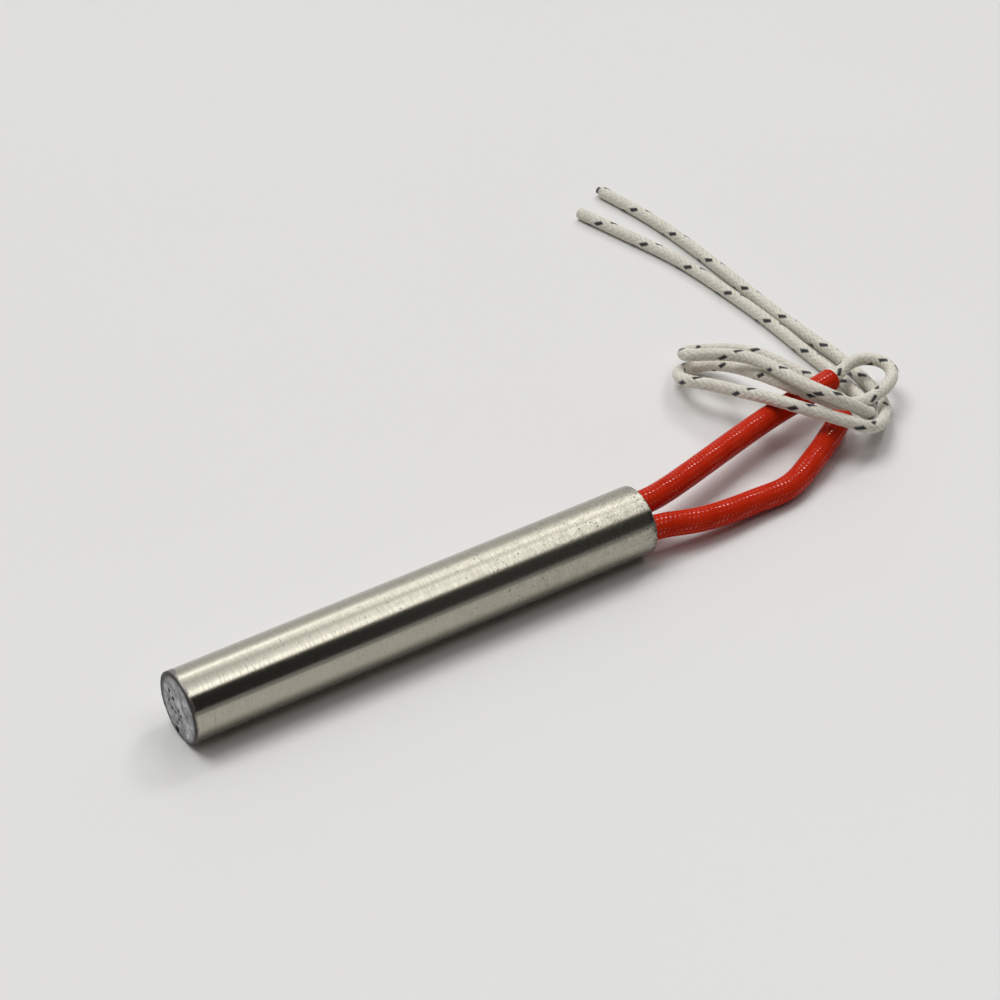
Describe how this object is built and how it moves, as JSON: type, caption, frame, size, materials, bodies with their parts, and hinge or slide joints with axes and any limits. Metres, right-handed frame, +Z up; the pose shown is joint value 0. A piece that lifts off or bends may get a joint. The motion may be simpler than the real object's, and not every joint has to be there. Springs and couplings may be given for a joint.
{
  "type": "cartridge heater",
  "caption": "Swaged stainless cartridge heater with a welded closed end and red-sleeved leads in white glass braid with black tracers, folded back and wrapped over the sleeves.",
  "frame": {"origin": "on the floor under the middle of the sheath, as it lies on its side", "axes": "+X from the closed end to the lead end, +Y to the left seen from the closed end, +Z up"},
  "size_m": [0.1759, 0.1196, 0.0152],
  "materials": {
    "sheath_steel": "fine centreless grinding, bright, with small dark pits",
    "weld_steel": "matt grey fused weld face with small pores",
    "mica": "pressed mica",
    "core_ceramic": "unglazed magnesia ceramic",
    "nichrome": "oxidised resistance wire",
    "magnesia": "packed magnesia powder",
    "nickel": "drawn nickel",
    "crimp_brass": "pressed brass tube",
    "cement": "rough setting cement",
    "glass_braid": "off-white glass-fibre braid with a black tracer yarn",
    "red_sleeve": "glossy red silicone over a fine glass braid"
  },
  "bodies": {
    "root": {"sheath": "sheath_steel", "end_plug": "weld_steel", "end_disc": "mica", "core_1": "core_ceramic", "core_2": "core_ceramic", "core_3": "core_ceramic", "core_4": "core_ceramic", "heating_coil": "nichrome", "magnesia_fill": "magnesia", "pin_a": "nickel", "pin_b": "nickel", "pin_bushing": "core_ceramic", "crimp_a": "crimp_brass", "crimp_b": "crimp_brass", "conductor_a": "nickel", "conductor_b": "nickel", "cement_seal": "cement", "lead_a": "glass_braid", "lead_b": "glass_braid", "sleeve_a": "red_sleeve", "sleeve_b": "red_sleeve"}
  },
  "joints": []
}
